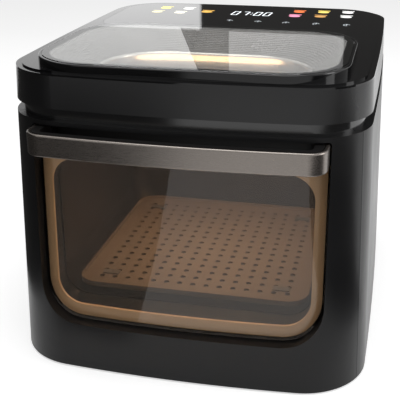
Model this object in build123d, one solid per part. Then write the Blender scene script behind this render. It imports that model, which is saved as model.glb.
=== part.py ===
from build123d import *
import math
import os

# Countertop air fryer oven with a windowed pull-out drawer and a glass view port in its top.
# Millimetres, +Z up, front towards -Y, origin under the middle of the overall box.
# A setback is measured from the front or the rear of the body plan, a side from its edge.

os.makedirs("parts", exist_ok=True)

# Body plan at the band's top edge: a rectangle with bowed sides and round corners
body_width = 320.0
body_depth = 380.0
corner_radius = 55.0
front_bow = 10.0
rear_bow = 4.0
side_bow = 3.0
wall = 3.0
half_width = body_width / 2
front_y = -body_depth / 2
rear_y = body_depth / 2

# Heights above the table
shell_floor = 1.5
foot_height = 5.0
base_thickness = 2.5
lower_top = 238.0
neck_height = 11.0
band_height = 30.0
rim_height = 1.5
panel_step = 1.5
island_height = 7.0
glass_proud = 0.5
base_z = foot_height + base_thickness
band_bottom = lower_top + neck_height
band_top = band_bottom + band_height - rim_height
rim_top = band_top + rim_height
panel_top = rim_top + panel_step
island_top = panel_top + island_height
glass_top = island_top + glass_proud

# Outline changes along the height
lower_proud = 1.5
base_flare = 6.0
band_flare = 1.0
neck_recess = 6.0
panel_inset = 5.0
flange_width = 10.0

# Side seam, clearances, and how far a cutter runs past the face that it opens
seam_setback = 32.0
seam_gap = 0.4
fit_gap = 0.3
bond_gap = 0.1
running_fit = 0.05
over = 1.0

# Drawer front and its opening in the bezel
front_side = 32.0
front_low = 47.0
front_drop = 5.5
front_radius = 36.0
front_top_radius = 1.5
drawer_gap = 1.5
lip_thickness = 2.0
lip_setback = 35.0
frame_setback = 30.0
front_half_width = half_width - front_side
front_high = lower_top - front_drop
lip_top = front_high + drawer_gap + lip_thickness
lip_y = front_y + lip_setback
frame_y = front_y + frame_setback

# Handle along the top of the drawer front, and the finger pocket behind it
handle_reach = 22.0
handle_height = 19.5
handle_metal = 4.0
handle_depth = 9.0
handle_arm = 12.0
handle_corner = 16.0
handle_edge = 1.6
pocket_inset = 22.0
pocket_side = 13.0
handle_low = front_high - handle_height
handle_mid = (handle_low + front_high) / 2
handle_screw_x = front_half_width - (handle_arm + handle_metal) / 2
pocket_half_width = front_half_width - pocket_side
front_reach = lower_proud + handle_reach - front_y

# Window: outer pane, metal trim behind it, inner pane in its seal
handle_glass_gap = 2.0
glass_recess = 10.0
glass_thickness = 3.3
glass_corner = 2.0
window_side = 11.0
window_sill = 13.0
window_drop = 9.5
window_radius = 24.0
trim_edge = 2.0
trim_thickness = 2.2
pane_margin = 3.5
pane_thickness = 3.5
seal_width = 3.0
glass_high = handle_low - handle_glass_gap
window_half_width = front_half_width - window_side
window_low = front_low + window_sill
window_high = glass_high - window_drop
pane_back = frame_y + pane_thickness

# Cooking chamber, its rails and the shield round it
liner_gap = 1.0
liner_sink = 5.0
liner_wall = 0.8
liner_flange = 9.0
service_space = 78.0
rail_width = 16.0
rail_side = 49.5
rail_gap = 0.3
rail_end_gap = 2.0
shield_space = 8.0
shield_wall = 0.6
shield_setback = 25.0
shield_drop = 27.0
liner_half_width = front_half_width + drawer_gap + liner_gap
liner_radius = front_radius + drawer_gap + liner_gap
liner_low = front_low - liner_sink
liner_high = front_high + drawer_gap
liner_top = liner_high + liner_wall
liner_rear = rear_y - service_space
liner_back = liner_rear + liner_wall
rail_x = liner_half_width - rail_side

# Air circulation, driven from behind the chamber
fan_space = 32.0
fan_cover_wall = 1.2
fan_cover_gap = 8.0
cover_hole = 2.6
cover_rings = ((14.0, 8), (26.0, 14), (38.0, 20), (50.0, 26), (80.0, 40), (88.0, 44))
fan_radius = 52.0
fan_hub_radius = 10.0
fan_width = 17.0
fan_blades = 12
fan_lean = 12
blade_wall = 1.2
shaft_radius = 3.0
shaft_gap = 1.5
heater_radius = 66.0
heater_tube = 3.25
heater_setback = 15.0
heater_clip = 1.5
terminal_space = 14.0
terminal_length = 26.0
terminal_gap = 0.2
cooler_gap = 6.0
cooler_radius = 36.0
cooler_width = 9.0
cooler_blades = 9
cooler_lean = 20
bracket_gap = 5.0
bracket_wall = 2.0
bracket_half = 46.0
bracket_post = 4.0
bracket_margin = 6.0
motor_radius = 30.0
motor_length = 30.0
motor_neck = 5.0
motor_end = 5.0
fan_z = (liner_low + liner_high) / 2
fan_cover_y = liner_rear - fan_space
fan_front = fan_cover_y + fan_cover_gap
heater_y = liner_rear - heater_setback
cooler_front = liner_rear + cooler_gap
bracket_y = cooler_front + cooler_width + bracket_gap
motor_front = bracket_y + bracket_wall

# Basket and the plate that lies in it on four soft corner pieces
basket_side = 3.5
basket_lift = 5.0
basket_drop = 20.5
basket_step = 3.0
basket_wall = 1.2
basket_corner = 20.0
basket_end_gap = 4.0
plate_side = 13.5
plate_height = 12.0
plate_thickness = 2.0
plate_end_gap = 5.0
plate_lip = 5.0
plate_rim = 1.5
plate_border = 12.0
plate_hole = 2.6
plate_pitch = 13.0
bumper_size = 8.0
bumper_inset = 27.0
basket_half_width = front_half_width - basket_side
basket_low = front_low + basket_lift
basket_high = front_high - basket_drop
basket_radius = front_radius - basket_step
basket_rear = fan_cover_y - basket_end_gap
plate_half_width = basket_half_width - plate_side

# Controls: a glass lens set into the rear half of the top
lens_side = 14.0
lens_setback = 12.0
lens_depth = 158.0
lens_corner = 40.0
lens_thickness = 1.5
lens_gap = 0.2
board_side = 14.0
board_front_gap = 10.0
board_rear_gap = 14.0
board_drop = 3.5
board_thickness = 1.6
board_margin = 8.0
post_radius = 3.0
display_width = 70.0
display_depth = 44.0
display_height = 9.0
display_x = 5.0
display_setback = 46.0
lens_half_width = half_width - lens_side
lens_rear = rear_y - lens_setback
lens_front = lens_rear - lens_depth
board_half_width = lens_half_width - board_side
board_front = lens_front + board_front_gap
board_rear = lens_rear - board_rear_gap
board_z = band_top - board_drop
display_y = lens_rear - display_setback

# View port between the front edge and the lens: outer glass, funnel, ring, inner glass
port_side = 27.0
port_setback = 13.0
port_lens_gap = 15.0
port_radius = 52.0
collar_width = 6.0
collar_round = 1.2
port_glass_margin = 3.0
port_glass = 3.5
port_glass_edge = 0.5
port_seal = 1.0
port_ledge = 4.0
throat_side = 33.0
throat_end = 26.0
throat_straight = 5.0
funnel_wall = 2.0
ring_height = 10.0
ring_width = 7.0
ring_flange = 1.0
ring_round = 2.0
throat_glass = 3.5
throat_seal = 1.3
throat_seal_width = 6.0
port_front = front_y + port_setback
port_rear = lens_front - port_lens_gap
port_y = (port_front + port_rear) / 2
port_half_width = half_width - port_side
port_half_depth = (port_rear - port_front) / 2
seal_floor = glass_top - port_glass - port_seal
throat_half_width = port_half_width - throat_side
throat_half_depth = port_half_depth - throat_end
throat_radius = throat_half_depth - throat_straight
ring_bottom = liner_top + throat_seal + throat_glass
throat_bottom = ring_bottom + ring_height

# Screws and the bosses that take them
screw_radius = 1.5
screw_head = 3.5
screw_hole = 1.7
screw_length = 16.0
screw_head_height = 1.6
boss_radius = 7.0
boss_height = 30.0
boss_setback = 95.0
boss_inset = 6.0
boss_y = rear_y - boss_setback

# Power board on the base, feet and vents
power_width = 120.0
power_length = 110.0
power_setback = 150.0
power_lift = 5.0
power_margin = 8.0
power_parts = ((-30, -20, 30, 26, 16), (20, -25, 18, 30, 10), (30, 20, 24, 20, 14), (-25, 25, 16, 16, 12))
foot_radius = 12.0
foot_side = 42.0
foot_setback = 55.0
foot_stem = 4.0
foot_taper = 4
vent_length = 90.0
vent_width = 4.0
vent_pitch = 12.0
vent_rows = 9
vent_setback = 80.0
power_y = rear_y - power_setback
power_z = base_z + power_lift
foot_x = half_width - foot_side
foot_y = rear_y - foot_setback

# Rear cover with its slots, screw lugs and the cord inlet
cover_low = 46.0
cover_drop = 24.0
cover_radius = 10.0
cover_step = 0.5
lug_size = 8.0
lug_depth = 5.0
slot_side = 20.0
slot_middle = 5.0
slot_height = 4.0
slot_rows = 13
inlet_side = 50.0
inlet_z = 24.0
inlet_radius = 9.0
inlet_bore = 3.6
inlet_reach = 6.0
inlet_depth = 8.0
inlet_flange = 2.5
cover_half_width = half_width - corner_radius
cover_high = lower_top - cover_drop
slot_length = cover_half_width - slot_side - slot_middle
inlet_x = inlet_side - half_width

# Door switch
switch_x = 60.0
switch_setback = 26.0
switch_width = 14.0
switch_depth = 8.0
switch_height = 10.0
plunger_radius = 1.5
plunger_gap = 0.3
plunger_travel = 1.5
plunger_length = 7.5
plunger_spare = 0.5
switch_y = front_y + switch_setback
tip_z = front_high + plunger_gap

# Lamp, probe and cut-out
lamp_setback = 82.0
lamp_clearance = 2.0
lamp_radius = 9.0
lamp_reach = 5.0
lamp_length = 14.0
lamp_base = 10.0
lamp_flange = 3.0
probe_setback = 54.0
probe_radius = 2.0
probe_reach = 5.0
probe_length = 12.0
probe_nut = 4.0
bore_gap = 0.1
cutout_x = 84.0
cutout_lift = 56.0
cutout_radius = 8.0
cutout_height = 5.0
cutout_cap = 4.0
lamp_y = liner_rear - lamp_setback
lamp_z = basket_high + lamp_radius + lamp_clearance
probe_y = liner_rear - probe_setback
cutout_z = fan_z + cutout_lift


def plan(grow=0.0, z=0.0):
    """Body outline grown outwards by a distance, at a height."""
    half_w = half_width + grow
    half_d = body_depth / 2 + grow
    side = half_w - side_bow
    front = half_d - front_bow
    rear = half_d - rear_bow
    edges = [
        ThreePointArc((-side, -front), (0, -half_d), (side, -front)),
        ThreePointArc((side, -front), (half_w, 0), (side, rear)),
        ThreePointArc((side, rear), (0, half_d), (-side, rear)),
        ThreePointArc((-side, rear), (-half_w, 0), (-side, -front)),
    ]
    face = make_face(edges)
    return Pos(0, 0, z) * fillet(face.vertices(), corner_radius + grow)


def block(grow_low, z_low, grow_high, z_high):
    """Solid between two body outlines."""
    return loft([plan(grow_low, z_low), plan(grow_high, z_high)], ruled=True)


def lower_grow(z):
    """How far the lower body stands out from the body plan at a height."""
    return lower_proud + base_flare * (lower_top - z) / (lower_top - shell_floor)


def lower_block(inset, z_low, z_high):
    """Solid with the lower body's slope, set in by a distance."""
    return block(lower_grow(z_low) - inset, z_low, lower_grow(z_high) - inset, z_high)


def slab(x0, x1, y0, y1, z0, z1):
    """Box between two corners."""
    return Pos((x0 + x1) / 2, (y0 + y1) / 2, (z0 + z1) / 2) * Box(x1 - x0, y1 - y0, z1 - z0)


def post(x, y, z0, z1, radius):
    """Upright cylinder."""
    return Pos(x, y, (z0 + z1) / 2) * Cylinder(radius, z1 - z0)


def bar(x, z, y0, y1, radius):
    """Cylinder along Y."""
    return Pos(x, (y0 + y1) / 2, z) * Rot(90, 0, 0) * Cylinder(radius, y1 - y0)


def cross_bar(y, z, x0, x1, radius):
    """Cylinder along X."""
    return Pos((x0 + x1) / 2, y, z) * Rot(0, 90, 0) * Cylinder(radius, x1 - x0)


def front_prism(half_w, z0, z1, radius, top_radius, y0, y1):
    """Upright outline with its own bottom and top corner radius, extruded along Y."""
    face = Plane.XZ * (Pos(0, (z0 + z1) / 2) * Rectangle(2 * half_w, z1 - z0))
    face = Pos(0, y1, 0) * face
    low = face.vertices().sort_by(Axis.Z)[:2]
    face = fillet(low, radius)
    if top_radius > 0:
        high = face.vertices().sort_by(Axis.Z)[-2:]
        face = fillet(high, top_radius)
    return extrude(face, amount=y1 - y0)


def rounded(half_w, half_d, radius, z, y=port_y):
    """Rounded rectangle at a height, over the view port's centre unless told otherwise."""
    return Pos(0, y, z) * RectangleRounded(2 * half_w, 2 * half_d, radius)


def port(grow, z0, z1):
    """Prism of the view port's outline."""
    face = rounded(port_half_width + grow, port_half_depth + grow, port_radius + grow, z0)
    return extrude(face, amount=z1 - z0)


def throat(grow, z0, z1):
    """Prism of the outline where the funnel ends."""
    face = rounded(throat_half_width + grow, throat_half_depth + grow, throat_radius + grow, z0)
    return extrude(face, amount=z1 - z0)


def drawer_opening(grow, y0, y1):
    """Prism of the bezel's opening for the drawer."""
    reach = drawer_gap + grow
    return front_prism(
        front_half_width + reach, front_low - reach, front_high + reach,
        front_radius + reach, front_top_radius + reach, y0, y1)


def boss_places():
    """Places of the bosses that hold the base."""
    x = half_width + lower_grow(base_z) - wall - boss_inset
    return [(side * x, end * boss_y) for side in (-1, 1) for end in (-1, 1)]


def cover_screws():
    """Places of the rear cover's screws."""
    x = cover_half_width - lug_size / 2
    return [(side * x, z) for side in (-1, 1) for z in (cover_low + 2 * lug_size, cover_high - 2 * lug_size)]


def rear_face_y(inset, x, z):
    """Y of the lower body's rear face at an inset."""
    half_w = half_width + lower_grow(z) - inset
    half_d = body_depth / 2 + lower_grow(z) - inset
    chord = half_w - side_bow
    radius = (chord ** 2 + rear_bow ** 2) / (2 * rear_bow)
    return half_d - radius + math.sqrt(radius ** 2 - x ** 2)


far_front = -body_depth
far_rear = body_depth
inlet_y = rear_face_y(0, inlet_x, inlet_z)
rear_reach = inlet_y + inlet_reach
nodes = {}

# Lower body: bezel in front of the side seam, shell behind it, one plan for both
seam_y = front_y + seam_setback
skin = lower_block(0, shell_floor, lower_top) - lower_block(wall, shell_floor - over, lip_top)
skin -= block(lower_proud - flange_width, lip_top - over, lower_proud - flange_width, lower_top + over)
ahead = slab(-body_width, body_width, far_front, seam_y, -over, lower_top + over)
behind = slab(-body_width, body_width, seam_y + seam_gap, far_rear, -over, lower_top + over)


def make_front_bezel():
    lip = drawer_opening(lip_thickness, far_front, lip_y)
    lip = lip & lower_block(0, shell_floor, lower_top)
    shape = (skin & ahead) + lip
    shape -= drawer_opening(0, far_front, lip_y + over)
    return shape - post(switch_x, switch_y, front_high, lower_top, plunger_radius + running_fit)


def make_cover_lug(x, z):
    """Lug behind the shell's rear opening for one screw of the cover."""
    side = 1 if x > 0 else -1
    x0, x1 = sorted((side * (cover_half_width - lug_size), side * (cover_half_width + lug_size)))
    layer = lower_block(wall, cover_low - lug_size, cover_high + lug_size)
    layer -= lower_block(wall + lug_depth, cover_low - lug_size - over, cover_high + lug_size + over)
    return slab(x0, x1, 0, far_rear, z - lug_size, z + lug_size) & layer


def make_main_shell():
    shape = skin & behind
    for x, y in boss_places():
        shape += post(x, y, base_z, base_z + boss_height, boss_radius)
        shape -= post(x, y, base_z - over, base_z + screw_length, screw_radius + running_fit)
    shape = shape & lower_block(0, shell_floor, lower_top)
    shape -= front_prism(cover_half_width, cover_low, cover_high, cover_radius, cover_radius, 0, far_rear)
    for x, z in cover_screws():
        shape += make_cover_lug(x, z)
        shape -= bar(x, z, 0, far_rear, screw_radius + running_fit)
    return shape - bar(inlet_x, inlet_z, 0, far_rear, inlet_radius)


nodes["front_bezel"] = make_front_bezel()
nodes["main_shell"] = make_main_shell()


# Rear cover with rows of air slots, and its screws
def make_rear_cover():
    shape = lower_block(cover_step, cover_low - lug_size, cover_high + lug_size)
    shape -= lower_block(wall, cover_low - lug_size - over, cover_high + lug_size + over)
    shape = shape & front_prism(
        cover_half_width - fit_gap, cover_low + fit_gap, cover_high - fit_gap,
        cover_radius - fit_gap, cover_radius - fit_gap, 0, far_rear)
    pitch = (cover_high - cover_low - 6 * lug_size) / (slot_rows - 1)
    for row in range(slot_rows):
        z = cover_low + 3 * lug_size + row * pitch
        for side in (-1, 1):
            x = side * (slot_length / 2 + slot_middle)
            shape -= Pos(x, 0, z) * Box(slot_length - slot_height, 3 * body_depth, slot_height)
    for x, z in cover_screws():
        shape -= bar(x, z, 0, far_rear, screw_hole)
    return shape


def make_rear_screw(x, z):
    """Screw whose head lies on the highest point of the cover's bowed and sloping face."""
    seat = rear_face_y(cover_step, abs(x) - screw_head, z - screw_head) + bond_gap
    shank = bar(x, z, rear_face_y(wall, x, z) - lug_depth, seat, screw_radius)
    return shank + bar(x, z, seat, seat + screw_head_height, screw_head)


nodes["rear_cover"] = make_rear_cover()
nodes["rear_screws"] = Compound([make_rear_screw(x, z) for x, z in cover_screws()])


# Base, feet and the screws that hold the base
def make_base_plate():
    shape = lower_block(wall + fit_gap, foot_height, base_z)
    for x, y in boss_places():
        shape -= post(x, y, 0, base_z + over, screw_hole)
    for side in (-1, 1):
        for end in (-1, 1):
            shape -= post(side * foot_x, end * foot_y, 0, base_z + over, foot_stem + running_fit)
            corner_x = side * (power_width / 2 - power_margin)
            corner_y = power_y + end * (power_length / 2 - power_margin)
            shape += post(corner_x, corner_y, base_z, power_z, post_radius)
    for row in range(vent_rows):
        slot = Pos(0, front_y + vent_setback + row * vent_pitch, 0) * SlotOverall(vent_length, vent_width)
        shape -= extrude(slot, amount=base_z + over)
    return shape


def make_base_screw(x, y):
    shank = post(x, y, foot_height, base_z + screw_length - over, screw_radius)
    return shank + post(x, y, foot_height - screw_head_height, foot_height, screw_head)


def make_foot(x, y):
    foot = extrude(Pos(x, y, 0) * Circle(foot_radius), amount=foot_height, taper=foot_taper)
    return foot + post(x, y, foot_height, base_z + over, foot_stem)


nodes["base_plate"] = make_base_plate()
nodes["base_screws"] = Compound([make_base_screw(x, y) for x, y in boss_places()])
for end, end_name in ((-1, "front"), (1, "rear")):
    for side, side_name in ((-1, "left"), (1, "right")):
        nodes[f"foot_{end_name}_{side_name}"] = make_foot(side * foot_x, end * foot_y)

# Neck and band between the lower body and the top
neck_grow = lower_proud - neck_recess
nodes["neck_ring"] = block(neck_grow, lower_top, neck_grow, band_bottom) - block(
    neck_grow - wall, lower_top - over, neck_grow - wall, band_bottom + over)


def make_upper_housing():
    shape = block(band_flare, band_bottom, 0, band_top)
    shape -= block(band_flare - wall, band_bottom + wall, -wall, band_top + over)
    return shape - block(-flange_width, band_bottom - over, -flange_width, band_bottom + wall + over)


nodes["upper_housing"] = make_upper_housing()


# Top panel with the raised collar of the view port and the recess of the control lens
def lens_face(grow, z):
    """Outline of the control lens."""
    return Pos(0, (lens_front + lens_rear) / 2, z) * RectangleRounded(
        2 * (lens_half_width + grow), lens_depth + 2 * grow, lens_corner + grow)


def display_slab(grow, z0, z1):
    """Box round the display."""
    half_w = display_width / 2 + grow
    half_d = display_depth / 2 + grow
    return slab(display_x - half_w, display_x + half_w, display_y - half_d, display_y + half_d, z0, z1)


def board_corners():
    """Places of the posts that hold the touch board."""
    x = board_half_width - board_margin
    rows = (board_front + board_margin, board_rear - board_margin)
    return [(side * x, y) for side in (-1, 1) for y in rows]


def edges_at(shape, z):
    """Edges of a shape that lie at one height."""
    return shape.edges().filter_by(lambda e: abs(e.center().Z - z) < bond_gap)


def make_top_panel():
    shape = extrude(plan(0, band_top), amount=rim_height)
    shape += extrude(plan(-panel_inset, rim_top), amount=panel_step)
    shape += port(collar_width, panel_top, island_top)
    shape = fillet(edges_at(shape, island_top), collar_round)
    shape -= port(port_glass_margin + fit_gap, seal_floor, glass_top + over)
    shape -= port(-port_ledge, band_top - over, glass_top)
    shape -= extrude(lens_face(lens_gap, panel_top - lens_thickness), amount=lens_thickness + over)
    shape -= display_slab(fit_gap, band_top - over, panel_top)
    for x, y in board_corners():
        shape += post(x, y, board_z + board_thickness, band_top, post_radius)
    return shape


display_top = panel_top - lens_thickness
nodes["top_panel"] = make_top_panel()
nodes["control_lens"] = extrude(lens_face(0, display_top), amount=lens_thickness)
nodes["display_module"] = display_slab(0, display_top - display_height, display_top)
nodes["touch_board"] = slab(
    -board_half_width, board_half_width, board_front, board_rear, board_z, board_z + board_thickness
) - display_slab(fit_gap, board_z - over, board_z + board_thickness + over)


# View port: outer glass and its seal, funnel, ring, inner glass and its seal
def make_port_glass():
    shape = port(port_glass_margin, glass_top - port_glass, glass_top)
    return chamfer(edges_at(shape, glass_top), port_glass_edge)


def funnel_loft(grow, z0, z1):
    """Loft from the throat's outline up to the port's."""
    reach = grow - port_ledge - fit_gap
    upper = rounded(port_half_width + reach, port_half_depth + reach, port_radius + reach, z1)
    reach = grow + funnel_wall
    lower = rounded(throat_half_width + reach, throat_half_depth + reach, throat_radius + reach, z0)
    return loft([lower, upper], ruled=True)


def make_ring():
    reach = funnel_wall + ring_flange
    shape = throat(reach, ring_bottom, throat_bottom)
    shape -= throat(reach - ring_width, ring_bottom - over, throat_bottom + over)
    return fillet(edges_at(shape, throat_bottom), ring_round)


nodes["top_window_glass"] = make_port_glass()
nodes["top_window_seal"] = port(port_glass_margin, seal_floor, seal_floor + port_seal) - port(
    -port_ledge, seal_floor - over, seal_floor + port_seal + over)
nodes["viewing_funnel"] = funnel_loft(0, throat_bottom, seal_floor) - funnel_loft(
    -funnel_wall, throat_bottom, seal_floor)
nodes["funnel_ring"] = make_ring()
nodes["throat_glass"] = throat(funnel_wall, ring_bottom - throat_glass, ring_bottom)
nodes["throat_seal"] = throat(funnel_wall, liner_top, liner_top + throat_seal) - throat(
    funnel_wall - throat_seal_width, liner_top - over, ring_bottom)


# Cooking chamber: a folded box that is open at the front, with a flange behind the bezel's lip
def liner_prism(grow, y0, y1):
    """Prism of the chamber's inside, grown by a distance."""
    return front_prism(liner_half_width + grow, liner_low - grow, liner_high + grow,
                       liner_radius + grow, 0, y0, y1)


def make_cavity_liner():
    shape = liner_prism(liner_wall, lip_y, liner_back)
    flange = liner_prism(liner_flange, lip_y, lip_y + liner_wall)
    flange -= slab(-body_width, body_width, far_front, far_rear, liner_top, 2 * lower_top)
    shape += flange
    shape -= liner_prism(0, lip_y - over, liner_rear)
    shape -= throat(funnel_wall - throat_seal_width, liner_high - over, liner_top + over)
    shape -= bar(0, fan_z, liner_rear - over, liner_back + over, shaft_radius + shaft_gap)
    for side in (-1, 1):
        shape -= bar(side * terminal_space / 2, fan_z - heater_radius,
                     liner_rear - over, liner_back + over, heater_tube + terminal_gap)
    shape -= cross_bar(lamp_y, lamp_z, 0, half_width, lamp_radius + bore_gap)
    return shape - cross_bar(probe_y, lamp_z, -half_width, 0, probe_radius + bore_gap)


def make_heat_shield():
    """Open-topped sleeve round the chamber, closed against it at both ends."""
    high = liner_high - shield_drop
    front = lip_y + shield_setback

    def sleeve(reach, y0, y1, top):
        return front_prism(liner_half_width + reach, liner_low - reach, top, liner_radius + reach, 0, y0, y1)

    inside = liner_wall + shield_space
    shape = sleeve(inside + shield_wall, front, liner_rear, high)
    shape -= sleeve(inside, front - over, liner_rear + over, high + over)
    for y in (front, liner_rear - shield_wall):
        end = sleeve(inside + shield_wall, y, y + shield_wall, high)
        shape += end - sleeve(liner_wall + bond_gap, y - over, y + shield_wall + over, high + over)
    return shape


nodes["cavity_liner"] = make_cavity_liner()
nodes["heat_shield"] = make_heat_shield()
for side, name in ((-1, "left"), (1, "right")):
    nodes["rail_" + name] = slab(
        side * rail_x - rail_width / 2, side * rail_x + rail_width / 2,
        lip_y + rail_end_gap, fan_cover_y - rail_end_gap, liner_low, basket_low - rail_gap)


# Perforated wall in front of the fan
def make_fan_cover():
    shape = liner_prism(-fit_gap, fan_cover_y, fan_cover_y + fan_cover_wall)
    holes = []
    for ring, count in cover_rings:
        for step in range(count):
            angle = 2 * math.pi * step / count
            holes.append(bar(ring * math.cos(angle), fan_z + ring * math.sin(angle),
                             fan_cover_y - over, fan_cover_y + fan_cover_wall + over, cover_hole))
    return shape - holes


nodes["fan_cover"] = make_fan_cover()


# Heater: a ring of tube round the fan, with two legs through the rear wall, held by three clips
def heater_ring(radius):
    """Torus on the heater's centre line."""
    return Pos(0, heater_y, fan_z) * Rot(90, 0, 0) * Torus(heater_radius, radius)


def make_heater():
    shape = heater_ring(heater_tube)
    for side in (-1, 1):
        shape += bar(side * terminal_space / 2, fan_z - heater_radius, heater_y,
                     heater_y + terminal_length, heater_tube)
    return shape


def make_heater_clip(degrees):
    x = heater_radius * math.cos(math.radians(degrees))
    z = fan_z + heater_radius * math.sin(math.radians(degrees))
    clip = bar(x, z, heater_y - heater_tube - heater_clip, liner_rear, heater_tube + heater_clip)
    return clip - heater_ring(heater_tube + running_fit) - bar(x, z, heater_y, far_rear, heater_tube)


nodes["heater_element"] = make_heater()
nodes["heater_brackets"] = Compound([make_heater_clip(degrees) for degrees in (30, 150, 90)])


# Fan, shaft, cooling fan, motor and bracket
def make_fan(y0, width, radius, blades, hub_radius, lean):
    """Hub, back plate and a ring of leaning blades."""
    shape = bar(0, fan_z, y0, y0 + width, hub_radius)
    shape += bar(0, fan_z, y0 + width - blade_wall, y0 + width, radius)
    reach = radius - hub_radius + over
    for step in range(blades):
        blade = Pos(hub_radius - over + reach / 2, y0 + width / 2, 0) * Rot(lean, 0, 0) * Box(
            reach, width - 2 * over, blade_wall)
        shape += Pos(0, 0, fan_z) * Rot(0, step * 360 / blades, 0) * blade
    shape = shape & bar(0, fan_z, y0, y0 + width, radius)
    return shape - bar(0, fan_z, y0 - over, y0 + width + over, shaft_radius)


def make_motor():
    shape = bar(0, fan_z, motor_front, motor_front + motor_length, motor_radius)
    shape += bar(0, fan_z, bracket_y - over, motor_front, shaft_radius + motor_neck)
    return shape - bar(0, fan_z, bracket_y - 2 * over, motor_front + motor_length - motor_end,
                       shaft_radius + running_fit)


def make_bracket():
    shape = slab(-bracket_half, bracket_half, bracket_y, motor_front,
                 fan_z - bracket_half, fan_z + bracket_half)
    shape -= bar(0, fan_z, bracket_y - over, motor_front + over, shaft_radius + motor_neck + bore_gap)
    reach = bracket_half - bracket_margin
    for x in (-reach, reach):
        for z in (fan_z - reach, fan_z + reach):
            shape += bar(x, z, liner_back, bracket_y, bracket_post)
    return shape


nodes["convection_fan"] = make_fan(fan_front, fan_width, fan_radius, fan_blades, fan_hub_radius, fan_lean)
nodes["cooling_fan"] = make_fan(
    cooler_front, cooler_width, cooler_radius, cooler_blades, fan_hub_radius - funnel_wall, cooler_lean)
nodes["motor_shaft"] = bar(
    0, fan_z, fan_front - shaft_radius, motor_front + motor_length - motor_end - over, shaft_radius)
nodes["fan_motor"] = make_motor()
nodes["motor_bracket"] = make_bracket()


# Lamp, probe and thermal cut-out on the chamber's walls
def make_lamp():
    x = liner_half_width
    shape = cross_bar(lamp_y, lamp_z, x - lamp_reach, x + lamp_length, lamp_radius)
    return shape + cross_bar(lamp_y, lamp_z, x + liner_wall, x + lamp_base, lamp_radius + lamp_flange)


def make_probe():
    shape = cross_bar(probe_y, lamp_z, -liner_half_width - probe_length, -liner_half_width + probe_reach,
                      probe_radius)
    return shape + cross_bar(probe_y, lamp_z, -liner_half_width - probe_nut, -liner_half_width - liner_wall,
                             2 * probe_radius)


def make_cutout():
    top = liner_back + cutout_height
    shape = bar(cutout_x, cutout_z, liner_back, top, cutout_radius)
    return shape + bar(cutout_x, cutout_z, top, top + cutout_cap, cutout_radius / 2)


nodes["interior_lamp"] = make_lamp()
nodes["temperature_probe"] = make_probe()
nodes["thermal_cutout"] = make_cutout()


# Power board, cord inlet and door switch
def make_power_board():
    shape = slab(-power_width / 2, power_width / 2, power_y - power_length / 2, power_y + power_length / 2,
                 power_z, power_z + board_thickness)
    floor = power_z + board_thickness
    for x, y, width, depth, height in power_parts:
        shape += slab(x - width / 2, x + width / 2, power_y + y - depth / 2, power_y + y + depth / 2,
                      floor, floor + height)
    return shape


def make_inlet():
    flange_y = inlet_y + 2 * fit_gap
    shape = bar(inlet_x, inlet_z, inlet_y - wall - inlet_depth, rear_reach, inlet_radius - bond_gap)
    shape += bar(inlet_x, inlet_z, flange_y, flange_y + inlet_flange, inlet_radius + inlet_flange)
    return shape - bar(inlet_x, inlet_z, 0, far_rear, inlet_bore)


def make_switch():
    shape = slab(switch_x - switch_width / 2, switch_x + switch_width / 2,
                 switch_y - switch_depth / 2, switch_y + switch_depth / 2, lip_top, lip_top + switch_height)
    return shape - post(switch_x, switch_y, lip_top - over,
                        tip_z + plunger_length + plunger_travel + plunger_spare, plunger_radius + running_fit)


nodes["power_board"] = make_power_board()
nodes["cord_inlet"] = make_inlet()
nodes["drawer_switch"] = make_switch()
nodes["switch_plunger"] = post(switch_x, switch_y, tip_z, tip_z + plunger_length, plunger_radius)


# Drawer front: frame with the finger pocket, trim, two panes and a seal
def window_prism(grow, y0, y1):
    """Prism of the window, grown by a distance."""
    return front_prism(window_half_width + grow, window_low - grow, window_high + grow,
                       window_radius + grow, window_radius + grow, y0, y1)


def trim_ring(grow):
    """Metal trim behind the outer pane, a little smaller than the pane."""
    depth = glass_recess + glass_thickness
    ring = lower_block(depth + bond_gap, front_low, front_high)
    ring -= lower_block(depth + trim_thickness + grow, front_low - over, front_high + over)
    edge = trim_edge - grow
    return ring & front_prism(
        front_half_width - edge, front_low + edge, glass_high - edge, front_radius - edge,
        glass_corner, far_front, 0)


def make_front_frame():
    shape = lower_block(glass_recess + glass_thickness + bond_gap, front_low - over, front_high + over)
    shape = shape & front_prism(
        front_half_width, front_low, front_high, front_radius, front_top_radius, far_front, frame_y)
    shape -= window_prism(0, far_front, frame_y + over)
    shape -= trim_ring(fit_gap)
    pocket = slab(-pocket_half_width, pocket_half_width, far_front, frame_y + over,
                  glass_high + front_top_radius, lower_top)
    shape -= pocket - lower_block(pocket_inset, glass_high - over, lower_top + over)
    for side in (-1, 1):
        shape -= bar(side * handle_screw_x, handle_mid, far_front, 0, screw_hole)
    return shape


def make_outer_pane():
    shape = lower_block(glass_recess, front_low - over, front_high + over)
    shape -= lower_block(glass_recess + glass_thickness, front_low - 2 * over, front_high + 2 * over)
    return shape & front_prism(
        front_half_width, front_low, glass_high, front_radius, glass_corner, far_front, 0)


nodes["drawer_front_frame"] = make_front_frame()
nodes["window_trim"] = trim_ring(0) - window_prism(0, far_front, 0)
nodes["drawer_glass_outer"] = make_outer_pane()
nodes["drawer_glass_inner"] = window_prism(pane_margin, frame_y, pane_back)
nodes["drawer_seal"] = window_prism(pane_margin + seal_width, frame_y, pane_back) - window_prism(
    pane_margin, frame_y - over, pane_back + over)


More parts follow.
